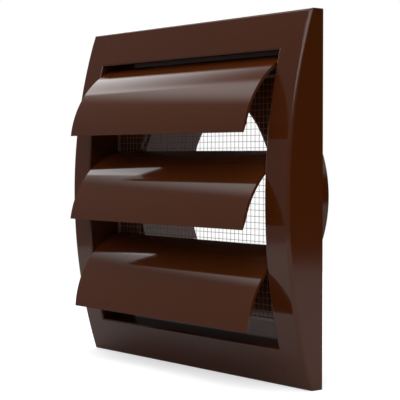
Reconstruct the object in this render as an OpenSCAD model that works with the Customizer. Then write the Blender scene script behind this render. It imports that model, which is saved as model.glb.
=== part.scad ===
// Exterior vent cover: a square arched face plate with a round duct spigot behind it,
// three gravity flaps that hang in its opening, and an insect screen behind the flaps.
// Seen from the front: +X is right, -Y is out of the wall, +Z is up.
// The origin is on the spigot's axis, in the plane of the wall.

/* [Face plate] */
// Width of the plate
plate_w = 190; // [175:1:230]
// Height of the plate
plate_h = 190; // [186:1:230]
// Depth of the top and bottom edges
edge_depth = 8; // [6:0.5:14]
// How much further the middle of the face stands out than its top and bottom edges
arch_rise = 15.7; // [12:0.1:30]
// Thickness of the moulded skin
skin = 2; // [1.2:0.1:3]
// Rounding of the outer edges
edge_round = 1.8; // [0.5:0.1:3]

/* [Opening] */
// Width of the opening
opening_w = 155.6; // [140:0.2:164]
// Height of the opening
opening_h = 150; // [148:0.5:170]
// Thickness of the walls that line the opening
box_wall = 2; // [1.2:0.1:3]
// Rounding of the opening's front edge
lip_round = 1; // [0.4:0.1:1.8]

/* [Spigot] */
// Outside diameter of the spigot
spigot_d = 123.2; // [90:0.1:130]
// Wall of the spigot
spigot_wall = 2.1; // [1.2:0.1:4]
// How far the spigot reaches behind the wall plane
spigot_reach = 38; // [15:1:80]
// Thickness of the back wall round the spigot
back_wall = 2; // [1.2:0.1:3]
// Rounding of the spigot's mouth, inside the cover; it reaches through the back wall
mouth_round = 2.5; // [2.1:0.1:3]
// Lead-in on the spigot's free end
spigot_chamfer = 1; // [0.4:0.1:1.6]

/* [Flaps] */
// Outer radius of the flap's curved blade
blade_r = 50; // [46:0.5:56]
// Thickness of the blade
blade_t = 1.5; // [1:0.1:2.2]
// Length of blade from hinge to tip, along the chord
blade_chord = 49.8; // [46:0.1:52]
// Length of the bevel behind the tip
tip_bevel = 4; // [1:0.5:6]
// Rounding left on the tip's edge
tip_land = 0.5; // [0.3:0.1:0.8]
// Gap between the flap's ends and the opening's side walls
end_gap = 0.8; // [0.5:0.1:3]
// Radius of the rod along the flap's hinge edge
rod_r = 1.6; // [1.4:0.1:2]
// Radius of the hinge pins
pin_r = 1.3; // [1:0.05:1.6]
// Radial clearance of the pins in their holes
pin_clearance = 0.07; // [0.03:0.01:0.1]
// How far the pins stand out behind the side walls
pin_spare = 0.5; // [0.2:0.1:1.5]
// Distance between one hinge and the next
flap_pitch = 48.6; // [48:0.1:50]
// Distance from the opening's top edge down to the top hinge
hinge_drop = 3.2; // [2.6:0.1:4]
// Distance of the hinges in front of the wall plane
hinge_depth = 6.2; // [5.6:0.1:9]
// Angle of the top flap's chord from the vertical
top_open = 37.3; // [20:0.1:60]
// Angle of the middle flap's chord from the vertical
middle_open = 38; // [20:0.1:60]
// Angle of the bottom flap's chord from the vertical
bottom_open = 33.2; // [20:0.1:60]

/* [Insect screen] */
// Height of the screen
screen_h = 128; // [126:1:140]
// Thickness of the screen
screen_t = 1; // [0.6:0.1:1.2]
// Gap between the screen and the opening's side walls
screen_gap = 0.3; // [0.2:0.1:1]
// Width of the border round the screen
screen_border = 2; // [1:0.5:4]
// Width of the bars of the screen
screen_bar = 1.2; // [0.6:0.1:2]
// Number of gaps across the screen
screen_columns = 11; // [6:1:11]
// Number of gaps up the screen
screen_rows = 9; // [5:1:10]

/* [Stiffening ribs] */
// Thickness of the ribs behind the face
rib_t = 1.5; // [0.8:0.1:2.5]
// How far the ribs stay back from the wall plane
rib_setback = 2.5; // [1:0.5:5]
// Number of ribs along each side of the opening
ribs_per_side = 3; // [1:1:5]

/* [Hidden] */

$fn = 96;
over = 1;
plastic = "#45291f";
screen_plastic = "#3d241b";

// The face is part of a cylinder whose axis lies along X, arch_y behind the wall plane.
half_h = plate_h / 2;
arch_r = (half_h * half_h + arch_rise * arch_rise) / (2 * arch_rise);
face_depth = edge_depth + arch_rise;
arch_y = arch_r - face_depth;
arch_sweep = 2 * asin(half_h / arch_r) + 2 * over;
block_depth = face_depth + over;

box_w = opening_w + 2 * box_wall;
box_h = opening_h + 2 * box_wall;
spigot_r = spigot_d / 2;
bore_r = spigot_r - spigot_wall;

flap_w = opening_w - 2 * end_gap;
pin_end = box_w / 2 + pin_spare;
pin_hole_r = pin_r + pin_clearance;
blade_arc = 2 * asin(blade_chord / (2 * blade_r));
rod_path_r = blade_r - rod_r;
top_hinge_z = opening_h / 2 - hinge_drop;
hinge_zs = [for (i = [0:2]) top_hinge_z - i * flap_pitch];

screen_w = opening_w - 2 * screen_gap;
screen_gap_w = (screen_w - 2 * screen_border + screen_bar) / screen_columns - screen_bar;
screen_gap_h = (screen_h - 2 * screen_border + screen_bar) / screen_rows - screen_bar;

// Section of the arched block, as radius and width, with its two front edges rounded
module arched_section(width, r_out, round_r) {
    translate([r_out - block_depth - over, -width / 2])
        square([block_depth + over - round_r, width]);
    translate([r_out - round_r - over, round_r - width / 2])
        square([round_r + over, width - 2 * round_r]);
    for (side = [-1, 1])
        translate([r_out - round_r, side * (width / 2 - round_r)])
            circle(r = round_r);
}

// Turns a section about the arch's axis, over the height of the plate
module sweep_along_arch() {
    translate([0, arch_y, 0])
        rotate([0, 90, 0])
            rotate([0, 0, -90 - arch_sweep / 2])
                rotate_extrude(angle = arch_sweep, $fn = 360)
                    children();
}

// Draws an outline given as depth in front of the wall and height, and extrudes it along X
module extrude_across(width) {
    rotate([90, 0, 0])
        rotate([0, -90, 0])
            translate([0, 0, -width / 2])
                linear_extrude(height = width)
                    children();
}

// Depth of a circle that touches the face from behind, at height z, as seen from the side
function touching_depth(z, round_r) = sqrt((arch_r - round_r) ^ 2 - z * z) - arch_y;

// Wedge between a corner at height z and the centre of the circle that rounds it off
module corner_wedge(z, round_r, toward) {
    depth = touching_depth(z, round_r);
    lean = asin(z / (arch_r - round_r));
    reach = 4 * round_r;
    polygon([
        [depth, z],
        [depth, z + toward * reach],
        [depth + 2 * reach, z + toward * reach],
        [depth + reach * cos(lean), z + reach * sin(lean)],
    ]);
}

// Outline of the whole plate from the side, with its top and bottom front edges rounded
module plate_outline() {
    edge_z = half_h - edge_round;
    for (end = [0, 1])
        mirror([0, end])
            translate([touching_depth(edge_z, edge_round), edge_z])
                circle(r = edge_round);
    difference() {
        intersection() {
            translate([-arch_y, 0])
                circle(r = arch_r, $fn = 720);
            translate([0, -half_h])
                square([block_depth, plate_h]);
        }
        for (end = [0, 1])
            mirror([0, end])
                corner_wedge(edge_z, edge_round, 1);
    }
}

// Outer form of the plate, solid from its face to the wall plane
module plate_form() {
    intersection() {
        sweep_along_arch()
            arched_section(plate_w, arch_r, edge_round);
        extrude_across(plate_w + 2 * over)
            plate_outline();
    }
}

// Space behind the skin of the face and edges
module plate_hollow() {
    inner_w = plate_w - 2 * skin;
    inner_h = plate_h - 2 * skin;
    intersection() {
        translate([0, arch_y, 0])
            rotate([0, 90, 0])
                cylinder(r = arch_r - skin, h = inner_w, center = true, $fn = 720);
        translate([-inner_w / 2, -block_depth, -inner_h / 2])
            cube([inner_w, block_depth + over, inner_h]);
    }
}

// Walls of the opening, and the ribs between them and the edges. They end inside the skin.
module box_and_ribs() {
    intersection() {
        translate([0, arch_y, 0])
            rotate([0, 90, 0])
                cylinder(r = arch_r - skin / 2, h = plate_w - skin, center = true, $fn = 720);
        union() {
            translate([-box_w / 2, -block_depth, -box_h / 2])
                cube([box_w, block_depth, box_h]);
            for (i = [1:ribs_per_side]) {
                place = i / (ribs_per_side + 1) - 0.5;
                translate([-plate_w / 2, -block_depth, place * plate_h - rib_t / 2])
                    cube([plate_w, block_depth - rib_setback, rib_t]);
                translate([place * plate_w - rib_t / 2, -block_depth, skin / 2 - plate_h / 2])
                    cube([rib_t, block_depth - rib_setback, plate_h - skin]);
            }
        }
    }
}

// Space inside the opening, from the face to the back wall
module box_hollow() {
    translate([-opening_w / 2, -block_depth - over, -opening_h / 2])
        cube([opening_w, block_depth + over - back_wall, opening_h]);
}

// Section across the opening's mouth, as radius and width, with its rounded side edges
module mouth_section() {
    translate([arch_r - 3 * lip_round, -opening_w / 2])
        square([3 * lip_round + over, opening_w]);
    for (side = [0, 1])
        mirror([0, side])
            difference() {
                translate([arch_r - lip_round, opening_w / 2 - over])
                    square([lip_round + over, lip_round + over]);
                translate([arch_r - lip_round, opening_w / 2 + lip_round])
                    circle(r = lip_round);
            }
}

// Outline of the opening's mouth from the side, with its rounded top and bottom edges
module mouth_outline() {
    lip_z = opening_h / 2 + lip_round;
    translate([0, -opening_h / 2])
        square([2 * block_depth, opening_h]);
    for (end = [0, 1])
        mirror([0, end])
            difference() {
                corner_wedge(lip_z, lip_round, -1);
                translate([touching_depth(lip_z, lip_round), lip_z])
                    circle(r = lip_round);
            }
}

// Mouth of the opening: its side edges follow the arch, its top and bottom edges run straight
module opening_mouth() {
    intersection() {
        sweep_along_arch()
            mouth_section();
        extrude_across(plate_w)
            mouth_outline();
    }
}

// Turns a section, given as radius and distance behind the wall plane, about the spigot's axis
module turn_about_spigot() {
    rotate([-90, 0, 0])
        rotate_extrude($fn = 180)
            children();
}

// Spigot tube with its lead-in
module spigot() {
    turn_about_spigot()
        polygon([
            [bore_r - over, -back_wall / 2],
            [spigot_r, -back_wall / 2],
            [spigot_r, spigot_reach - spigot_chamfer],
            [spigot_r - spigot_chamfer, spigot_reach],
            [bore_r - over, spigot_reach],
        ]);
}

// Air passage through the back wall and spigot, with its rounded mouth
module bore() {
    turn_about_spigot() {
        translate([0, -back_wall - over])
            square([bore_r, back_wall + spigot_reach + 2 * over]);
        difference() {
            translate([0, -back_wall - over])
                square([bore_r + mouth_round, mouth_round + over]);
            translate([bore_r + mouth_round, mouth_round - back_wall])
                circle(r = mouth_round);
        }
    }
}

// Holes for the flaps' pins through both side walls of the opening
module pin_holes() {
    for (z = hinge_zs)
        translate([0, -hinge_depth, z])
            rotate([0, 90, 0])
                cylinder(r = pin_hole_r, h = box_w + 2 * over, center = true);
}

// Face, edges, opening, back wall, ribs and spigot, moulded as one piece
module housing() {
    color(plastic)
        difference() {
            union() {
                difference() {
                    plate_form();
                    plate_hollow();
                }
                box_and_ribs();
                spigot();
            }
            box_hollow();
            opening_mouth();
            bore();
            pin_holes();
        }
}

// Section of a flap in its closed place: out of the wall along X, up along Y, hinge at the origin
module flap_section() {
    start = blade_arc / 2;
    centre = [-rod_path_r * cos(start), -rod_path_r * sin(start)];
    circle(r = rod_r);
    translate(centre)
        difference() {
            intersection() {
                circle(r = blade_r, $fn = 360);
                polygon([
                    [0, 0],
                    [2 * blade_r * cos(start), 2 * blade_r * sin(start)],
                    [2 * blade_r, 0],
                    [2 * blade_r * cos(start), -2 * blade_r * sin(start)],
                ]);
            }
            circle(r = blade_r - blade_t, $fn = 360);
            rotate(-start)
                polygon([
                    [blade_r - blade_t - over, -over],
                    [blade_r - tip_land, -over],
                    [blade_r - tip_land, 0],
                    [blade_r - blade_t, tip_bevel],
                    [blade_r - blade_t - over, tip_bevel],
                ]);
        }
}

// One flap with its two pins, hinged at height z and opened by an angle
module flap(z, open_angle) {
    color(plastic)
        translate([0, -hinge_depth, z])
            rotate([-open_angle, 0, 0]) {
                extrude_across(flap_w)
                    flap_section();
                rotate([0, 90, 0])
                    cylinder(r = pin_r, h = 2 * pin_end, center = true);
            }
}

module flap_top() {
    flap(hinge_zs[0], top_open);
}

module flap_middle() {
    flap(hinge_zs[1], middle_open);
}

module flap_bottom() {
    flap(hinge_zs[2], bottom_open);
}

// Screen that lies on the back wall, across the spigot's mouth
module insect_screen() {
    color(screen_plastic)
        translate([-screen_w / 2, -back_wall - screen_t, -screen_h / 2])
            difference() {
                cube([screen_w, screen_t, screen_h]);
                for (column = [0:screen_columns - 1], row = [0:screen_rows - 1])
                    translate([
                        screen_border + column * (screen_gap_w + screen_bar),
                        -over,
                        screen_border + row * (screen_gap_h + screen_bar),
                    ])
                        cube([screen_gap_w, screen_t + 2 * over, screen_gap_h]);
            }
}

housing();
insect_screen();
flap_top();
flap_middle();
flap_bottom();
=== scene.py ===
"""Looks of an exterior vent cover: glossy brown mouldings, hanging flaps and a fine insect screen."""

import logging
import math
from dataclasses import dataclass, field
from enum import Enum

import bpy
from mathutils import Matrix, Vector

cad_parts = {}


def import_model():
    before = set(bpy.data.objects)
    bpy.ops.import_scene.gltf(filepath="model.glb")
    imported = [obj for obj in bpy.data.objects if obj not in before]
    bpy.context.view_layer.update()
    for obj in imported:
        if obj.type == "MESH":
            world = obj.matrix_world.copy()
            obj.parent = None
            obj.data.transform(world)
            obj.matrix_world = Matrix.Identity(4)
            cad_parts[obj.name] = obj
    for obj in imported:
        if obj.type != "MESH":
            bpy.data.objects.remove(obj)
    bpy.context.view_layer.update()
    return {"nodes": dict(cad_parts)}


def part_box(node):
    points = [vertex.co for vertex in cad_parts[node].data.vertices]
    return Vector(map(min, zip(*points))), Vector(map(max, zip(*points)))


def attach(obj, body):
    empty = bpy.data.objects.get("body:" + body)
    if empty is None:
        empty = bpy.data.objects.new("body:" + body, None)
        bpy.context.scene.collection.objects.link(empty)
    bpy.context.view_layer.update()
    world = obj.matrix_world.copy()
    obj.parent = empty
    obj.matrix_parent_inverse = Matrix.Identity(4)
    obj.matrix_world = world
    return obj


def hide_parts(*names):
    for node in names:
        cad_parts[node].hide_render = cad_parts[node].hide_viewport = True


log = logging.getLogger("vent_cover")
MM = 0.001
Point = tuple[float, float, float]
Colour = tuple[float, float, float]


class Part(Enum):
    """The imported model's nodes, by the names that they carry there."""

    HOUSING = "housing"
    SCREEN = "insect_screen"
    FLAP_TOP = "flap_top"
    FLAP_MIDDLE = "flap_middle"
    FLAP_BOTTOM = "flap_bottom"


class Body(Enum):
    """The bodies that pieces ride on."""

    COVER = "cover"


class Slot(Enum):
    """The record's material slots."""

    HOUSING = "housing"
    SCREEN = "insect_screen"
    FLAPS = "flaps"


def linear(red: int, green: int, blue: int) -> Colour:
    """Turns a colour written in 0 to 255 steps into the renderer's linear values.

    Args:
        red: Red, 0 to 255.
        green: Green, 0 to 255.
        blue: Blue, 0 to 255.

    Returns:
        The same colour as three linear values from 0 to 1.
    """
    steps = (value / 255 for value in (red, green, blue))
    low, power, offset = 0.04045, 2.4, 0.055
    return tuple(
        value / 12.92 if value <= low else ((value + offset) / (1 + offset)) ** power
        for value in steps
    )


@dataclass(frozen=True)
class MouldedPlastic:
    """Injection-moulded plastic: one colour right through, a polished face and a faint ripple.

    Attributes:
        name: The material's name.
        colour: Its colour, in linear values.
        roughness: Roughness of the polished face.
        specular: Strength of its mirror-like reflection.
        ripple: Height of the faint waviness that cooling leaves, in metres.
        ripple_size: Distance from one wave to the next, in metres.
    """

    name: str
    colour: Colour
    roughness: float = 0.22
    specular: float = 0.5
    ripple: float = 0.00002
    ripple_size: float = 0.045

    def build(self) -> bpy.types.Material:
        """Builds the node material.

        Returns:
            The finished material.
        """
        material = bpy.data.materials.new(self.name)
        material.use_nodes = True
        nodes, links = material.node_tree.nodes, material.node_tree.links
        shader = nodes["Principled BSDF"]
        shader.inputs["Specular IOR Level"].default_value = self.specular
        place = nodes.new("ShaderNodeTexCoord")

        tint = nodes.new("ShaderNodeTexNoise")
        tint.inputs["Scale"].default_value = 1 / (3 * self.ripple_size)
        tint.inputs["Detail"].default_value = 2.0
        shade = nodes.new("ShaderNodeMix")
        shade.data_type = "RGBA"
        shade.inputs["A"].default_value = (*[c * 0.94 for c in self.colour], 1.0)
        shade.inputs["B"].default_value = (*[min(1.0, c * 1.06) for c in self.colour], 1.0)
        links.new(place.outputs["Object"], tint.inputs["Vector"])
        links.new(tint.outputs["Fac"], shade.inputs["Factor"])
        links.new(shade.outputs["Result"], shader.inputs["Base Color"])

        gloss = nodes.new("ShaderNodeTexNoise")
        gloss.inputs["Scale"].default_value = 1 / (0.4 * self.ripple_size)
        gloss.inputs["Detail"].default_value = 4.0
        polish = nodes.new("ShaderNodeMapRange")
        polish.inputs["To Min"].default_value = self.roughness * 0.88
        polish.inputs["To Max"].default_value = self.roughness * 1.12
        links.new(place.outputs["Object"], gloss.inputs["Vector"])
        links.new(gloss.outputs["Fac"], polish.inputs["Value"])
        links.new(polish.outputs["Result"], shader.inputs["Roughness"])

        wave = nodes.new("ShaderNodeTexNoise")
        wave.inputs["Scale"].default_value = 1 / self.ripple_size
        wave.inputs["Detail"].default_value = 0.0
        bump = nodes.new("ShaderNodeBump")
        bump.inputs["Strength"].default_value = 1.0
        bump.inputs["Distance"].default_value = self.ripple
        links.new(place.outputs["Object"], wave.inputs["Vector"])
        links.new(wave.outputs["Fac"], bump.inputs["Height"])
        links.new(bump.outputs["Normal"], shader.inputs["Normal"])
        return material


HOUSING_PLASTIC = MouldedPlastic("housing plastic", linear(67, 29, 8), roughness=0.11)
FLAP_PLASTIC = MouldedPlastic("flap plastic", linear(68, 31, 10), roughness=0.08)
SCREEN_PLASTIC = MouldedPlastic(
    "screen plastic", linear(128, 96, 82), roughness=0.35, ripple=0.000002, ripple_size=0.004
)


def dress(node: bpy.types.Object, material: bpy.types.Material) -> None:
    """Gives every material slot of a node the same finish.

    Args:
        node: The node's object.
        material: The finish.
    """
    for place in node.material_slots:
        place.material = material
    if not node.material_slots:
        node.data.materials.append(material)


def deselect_all() -> None:
    """Leaves object mode's selection empty, so that an operator acts on nothing else."""
    if bpy.context.object and bpy.context.object.mode != "OBJECT":
        bpy.ops.object.mode_set(mode="OBJECT")
    bpy.ops.object.select_all(action="DESELECT")


@dataclass
class InsectScreen:
    """A fine square mesh with a plain border, flat against the back wall.

    Attributes:
        pitch: Distance from one wire to the next, in metres.
        wire: Width of a wire, in metres.
        border: Width of the plain border, in metres.
        depth: Thickness of a wire, in metres.
    """

    pitch: float = 3.3 * MM
    wire: float = 0.22 * MM
    border: float = 1.6 * MM
    depth: float = 0.16 * MM
    low: Vector = field(default_factory=lambda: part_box(Part.SCREEN.value)[0])
    high: Vector = field(default_factory=lambda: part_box(Part.SCREEN.value)[1])

    def bar(self, low: Point, high: Point, name: str) -> bpy.types.Object:
        """Makes one straight bar of the screen.

        Args:
            low: Its lowest corner.
            high: Its highest corner.
            name: The bar's name.

        Returns:
            The bar's object.
        """
        deselect_all()
        middle = [(a + b) / 2 for a, b in zip(low, high)]
        bpy.ops.mesh.primitive_cube_add(size=1.0, location=middle)
        bar = bpy.context.object
        bar.name = name
        bar.scale = [b - a for a, b in zip(low, high)]
        bpy.ops.object.transform_apply(location=True, rotation=True, scale=True)
        return bar

    def lines(self, low: float, high: float) -> list[float]:
        """Spreads wires evenly between the two borders.

        Args:
            low: Where the screen starts.
            high: Where it ends.

        Returns:
            The middle of each wire.
        """
        inner = high - low - 2 * self.border
        count = round(inner / self.pitch)
        return [low + self.border + inner * step / count for step in range(1, count)]

    def repeated(self, bar: bpy.types.Object, offset: Point, count: int) -> bpy.types.Object:
        """Repeats a bar at even steps.

        Args:
            bar: The first bar.
            offset: The step from one bar to the next.
            count: How many bars there are.

        Returns:
            The same object, now with all the bars.
        """
        repeat = bar.modifiers.new("repeat", "ARRAY")
        repeat.use_relative_offset = False
        repeat.use_constant_offset = True
        repeat.constant_offset_displace = offset
        repeat.count = count
        bpy.context.view_layer.objects.active = bar
        bpy.ops.object.modifier_apply(modifier=repeat.name)
        return bar

    def build(self) -> bpy.types.Object:
        """Makes the border and all the wires as one piece.

        Returns:
            The screen's object.
        """
        back = self.high.y
        front = back - self.depth
        half = self.wire / 2
        across = self.lines(self.low.x, self.high.x)
        up = self.lines(self.low.z, self.high.z)
        edge = self.border / 2
        uprights = self.bar(
            (across[0] - half, front, self.low.z + edge),
            (across[0] + half, back - self.depth * 0.35, self.high.z - edge),
            "uprights",
        )
        self.repeated(uprights, (across[1] - across[0], 0.0, 0.0), len(across))
        rungs = self.bar(
            (self.low.x + edge, front + self.depth * 0.35, up[0] - half),
            (self.high.x - edge, back, up[0] + half),
            "rungs",
        )
        self.repeated(rungs, (0.0, 0.0, up[1] - up[0]), len(up))
        rims = []
        thick = self.high.y - self.low.y
        for start, end in (
            ((self.low.x, self.low.z), (self.low.x + self.border, self.high.z)),
            ((self.high.x - self.border, self.low.z), (self.high.x, self.high.z)),
            ((self.low.x + self.border, self.low.z), (self.high.x - self.border, self.low.z + self.border)),
            ((self.low.x + self.border, self.high.z - self.border), (self.high.x - self.border, self.high.z)),
        ):
            rims.append(
                self.bar((start[0], back - thick, start[1]), (end[0], back, end[1]), "rim")
            )
        deselect_all()
        for piece in (uprights, rungs, *rims):
            piece.select_set(True)
        bpy.context.view_layer.objects.active = rims[0]
        bpy.ops.object.join()
        screen = bpy.context.object
        screen.name = "insect_mesh"
        screen.data.name = "insect_mesh"
        dress(screen, SCREEN_PLASTIC.build())
        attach(screen, Body.COVER.value)
        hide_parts(Part.SCREEN.value)
        log.info("insect screen: %d by %d wires", len(across), len(up))
        return screen


@dataclass
class Mouldings:
    """The housing and the flaps, which keep their own shapes and get their finish here."""

    nodes: dict[str, bpy.types.Object]

    def dress_all(self) -> None:
        """Gives the housing and each flap its plastic."""
        dress(self.nodes[Part.HOUSING.value], HOUSING_PLASTIC.build())
        flap_plastic = FLAP_PLASTIC.build()
        for part in (Part.FLAP_TOP, Part.FLAP_MIDDLE, Part.FLAP_BOTTOM):
            dress(self.nodes[part.value], flap_plastic)
        log.info("housing and flaps dressed")


@dataclass(frozen=True)
class Panel:
    """A soft-edged patch of light far round the object, part of the studio's surroundings.

    Angles are in degrees. Bearings count from straight in front of the object towards its left.

    Attributes:
        bearing: Bearings of its two side edges.
        height: Heights of its lower and upper edges above the horizon.
        strength: How bright it is.
        side_fade: How far its sides fade.
        low_fade: How far its lower edge fades.
        high_fade: How far its upper edge fades.
    """

    bearing: tuple[float, float]
    height: tuple[float, float]
    strength: float
    side_fade: float = 4.0
    low_fade: float = 4.0
    high_fade: float = 4.0


PANELS = (
    Panel((-180.0, 180.0), (62.0, 90.0), 2.6),
    Panel((84.0, 128.0), (-4.0, 30.0), 2.8, side_fade=1.5, high_fade=12.0),
    Panel((-85.0, -5.0), (22.0, 60.0), 2.0, side_fade=10.0, low_fade=8.0),
    Panel((0.0, 80.0), (38.0, 60.0), 1.2, side_fade=10.0, low_fade=8.0),
    Panel((0.0, 180.0), (-90.0, 90.0), 0.2),
    Panel((-105.0, 0.0), (-90.0, 90.0), 0.15),
    Panel((-180.0, -105.0), (20.0, 60.0), 0.9, side_fade=10.0, low_fade=8.0),
)


class Surroundings:
    """The world's light: white where the camera looks, and the panels for all else."""

    def __init__(self, world: bpy.types.World) -> None:
        """Starts an empty node tree.

        Args:
            world: The world to fill.
        """
        world.use_nodes = True
        self.tree = world.node_tree
        place = self.tree.nodes.new("ShaderNodeTexCoord")
        split = self.tree.nodes.new("ShaderNodeSeparateXYZ")
        self.tree.links.new(place.outputs["Generated"], split.inputs["Vector"])
        left = self.math("MULTIPLY", split.outputs["X"], -1.0)
        front = self.math("MULTIPLY", split.outputs["Y"], -1.0)
        self.bearing = self.math("ARCTAN2", left, front)
        self.height = self.math("ARCSINE", split.outputs["Z"])

    def math(self, operation: str, *values: float | bpy.types.NodeSocket) -> bpy.types.NodeSocket:
        """Adds one math node.

        Args:
            operation: The node's operation.
            *values: Its inputs, each a number or another node's output.

        Returns:
            Its output.
        """
        node = self.tree.nodes.new("ShaderNodeMath")
        node.operation = operation
        for socket, value in zip(node.inputs, values):
            if isinstance(value, bpy.types.NodeSocket):
                self.tree.links.new(value, socket)
            else:
                socket.default_value = value
        return node.outputs["Value"]

    def ramp(self, angle: bpy.types.NodeSocket, dark: float, light: float) -> bpy.types.NodeSocket:
        """Fades smoothly from dark to light.

        Args:
            angle: The angle that the fade follows, in radians.
            dark: Where it is dark, in degrees.
            light: Where it is fully light, in degrees.

        Returns:
            A value from 0 to 1.
        """
        node = self.tree.nodes.new("ShaderNodeMapRange")
        node.interpolation_type = "SMOOTHSTEP"
        self.tree.links.new(angle, node.inputs["Value"])
        backwards = dark > light
        node.inputs["From Min"].default_value = math.radians(min(dark, light))
        node.inputs["From Max"].default_value = math.radians(max(dark, light))
        node.inputs["To Min"].default_value = 1.0 if backwards else 0.0
        node.inputs["To Max"].default_value = 0.0 if backwards else 1.0
        return node.outputs["Result"]

    def glow(self, panel: Panel) -> bpy.types.NodeSocket:
        """Shapes one panel.

        Args:
            panel: The panel.

        Returns:
            Its brightness in each direction.
        """
        near, far = panel.bearing
        low, high = panel.height
        edges = (
            self.ramp(self.bearing, near - panel.side_fade, near),
            self.ramp(self.bearing, far + panel.side_fade, far),
            self.ramp(self.height, low - panel.low_fade, low),
            self.ramp(self.height, high + panel.high_fade, high),
        )
        light: float | bpy.types.NodeSocket = panel.strength
        for edge in edges:
            light = self.math("MULTIPLY", light, edge)
        return light

    def fill(self, panels: tuple[Panel, ...]) -> None:
        """Adds up the panels, and shows the camera plain white.

        Args:
            panels: The panels.
        """
        nodes, links = self.tree.nodes, self.tree.links
        total: float | bpy.types.NodeSocket = 0.0
        for panel in panels:
            total = self.math("ADD", total, self.glow(panel))
        room = nodes["Background"]
        links.new(total, room.inputs["Strength"])
        room.inputs["Color"].default_value = (1.0, 1.0, 1.0, 1.0)
        white = nodes.new("ShaderNodeBackground")
        white.inputs["Color"].default_value = (1.0, 1.0, 1.0, 1.0)
        path = nodes.new("ShaderNodeLightPath")
        seen = nodes.new("ShaderNodeMixShader")
        links.new(path.outputs["Is Camera Ray"], seen.inputs["Fac"])
        links.new(room.outputs["Background"], seen.inputs[1])
        links.new(white.outputs["Background"], seen.inputs[2])
        links.new(seen.outputs["Shader"], nodes["World Output"].inputs["Surface"])


@dataclass
class Studio:
    """A white room with soft lamps, and a camera at the photograph's angle.

    Attributes:
        azimuth: How far the camera stands round to the object's right, in radians.
        pitch: How far it looks down, in radians.
        distance: Its distance from the origin along its view, in metres.
        shift_right: How far it stands to its own right, in metres.
        shift_up: How far it stands up, in metres.
        lens: Its focal length, in millimetres on a 36 mm sensor.
        floor_z: Height of the floor, in metres.
        floor_at: The floor's centre, in metres.
        floor_r: The floor's radius, in metres.
        floor_grey: How bright the floor is to the object.
        floor_shadow: How much of the floor's brightness a shadow takes away.
        floor_lift: Brightness of the floor where it is wholly in shadow.
    """

    azimuth: float = -0.89389
    pitch: float = 0.033293
    distance: float = 0.7162
    shift_right: float = -0.00166
    shift_up: float = -0.00246
    lens: float = 115.98
    floor_z: float = -0.0951
    floor_at: tuple[float, float] = (0.15, 0.15)
    floor_r: float = 0.62
    floor_grey: float = 0.36
    floor_shadow: float = 0.5
    floor_lift: float = 0.55

    def camera(self) -> None:
        """Places the camera."""
        turn, tip = self.azimuth, self.pitch
        forward = Vector(
            (math.sin(turn) * math.cos(tip), math.cos(turn) * math.cos(tip), -math.sin(tip))
        )
        right = Vector((math.cos(turn), -math.sin(turn), 0.0))
        up = right.cross(forward)
        place = -forward * self.distance + right * self.shift_right + up * self.shift_up
        data = bpy.data.cameras.new("camera")
        data.lens = self.lens
        data.sensor_width = 36.0
        data.clip_start, data.clip_end = 0.01, 20.0
        camera = bpy.data.objects.new("camera", data)
        axes = Matrix((right, up, -forward)).transposed()
        camera.matrix_world = Matrix.Translation(place) @ axes.to_4x4()
        bpy.context.scene.collection.objects.link(camera)
        bpy.context.scene.camera = camera

    def floor(self) -> None:
        """Lays the round floor: white to the camera, with the object's shadow, and grey in reflections."""
        deselect_all()
        bpy.ops.mesh.primitive_circle_add(
            vertices=96, radius=self.floor_r, fill_type="NGON", location=(*self.floor_at, self.floor_z)
        )
        floor = bpy.context.object
        floor.name = "floor"
        bpy.ops.object.transform_apply(location=True, rotation=False, scale=False)
        material = bpy.data.materials.new("floor white")
        material.use_nodes = True
        nodes, links = material.node_tree.nodes, material.node_tree.links
        nodes.remove(nodes["Principled BSDF"])
        output = nodes["Material Output"]
        grey = nodes.new("ShaderNodeBsdfDiffuse")
        grey.inputs["Color"].default_value = (self.floor_grey,) * 3 + (1.0,)
        shadowed = nodes.new("ShaderNodeBsdfDiffuse")
        shadowed.inputs["Color"].default_value = (self.floor_shadow,) * 3 + (1.0,)
        lift = nodes.new("ShaderNodeEmission")
        lift.inputs["Strength"].default_value = self.floor_lift
        white = nodes.new("ShaderNodeAddShader")
        seen = nodes.new("ShaderNodeMixShader")
        path = nodes.new("ShaderNodeLightPath")
        links.new(shadowed.outputs["BSDF"], white.inputs[0])
        links.new(lift.outputs["Emission"], white.inputs[1])
        links.new(path.outputs["Is Camera Ray"], seen.inputs["Fac"])
        links.new(grey.outputs["BSDF"], seen.inputs[1])
        links.new(white.outputs["Shader"], seen.inputs[2])
        links.new(seen.outputs["Shader"], output.inputs["Surface"])
        dress(floor, material)

    def build(self) -> None:
        """Sets up the whole studio."""
        scene = bpy.context.scene
        scene.view_settings.view_transform = "Standard"
        self.camera()
        scene.world = bpy.data.worlds.new("room")
        Surroundings(scene.world).fill(PANELS)
        self.floor()


def main(frame: dict) -> None:
    """Builds the studio, then dresses and details the object.

    Args:
        frame: What the import gave: the model's nodes.
    """
    Studio().build()
    Mouldings(frame["nodes"]).dress_all()
    InsectScreen().build()


if __name__ == "__main__":
    logging.basicConfig(level=logging.INFO, format="%(message)s")
    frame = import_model()
    main(frame)
    bpy.context.view_layer.update()
